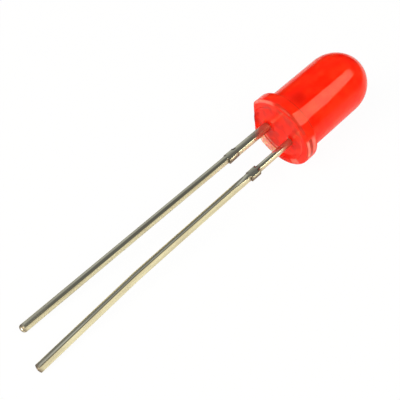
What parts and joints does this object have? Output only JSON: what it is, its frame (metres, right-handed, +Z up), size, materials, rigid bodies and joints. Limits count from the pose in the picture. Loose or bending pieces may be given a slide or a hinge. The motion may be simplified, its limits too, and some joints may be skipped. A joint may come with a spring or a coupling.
{
  "type": "through-hole led",
  "caption": "Round diffused red through-hole LED with a domed lens, a flange with a cathode flat and straight tinned leads, lying at rest.",
  "frame": {"origin": "on the table below the middle of the laid part's box", "axes": "+Z up from the table, +X along the lens towards its dome, +Y towards the flat and the cathode lead"},
  "size_m": [0.0312, 0.0054, 0.0062],
  "materials": {
    "red_epoxy": "glossy cast resin with a diffusing filler",
    "tinned_steel": "dull bright tin plating, slightly yellowed",
    "chip": "sawn semiconductor with a metal contact",
    "silver_paste": "matt silver-filled adhesive",
    "wire_gold": "bright drawn gold"
  },
  "bodies": {
    "root": {"epoxy_lens": "red_epoxy", "cathode_lead": "tinned_steel", "anode_lead": "tinned_steel", "led_die": "chip", "die_attach": "silver_paste", "bond_wire": "wire_gold"}
  },
  "joints": []
}
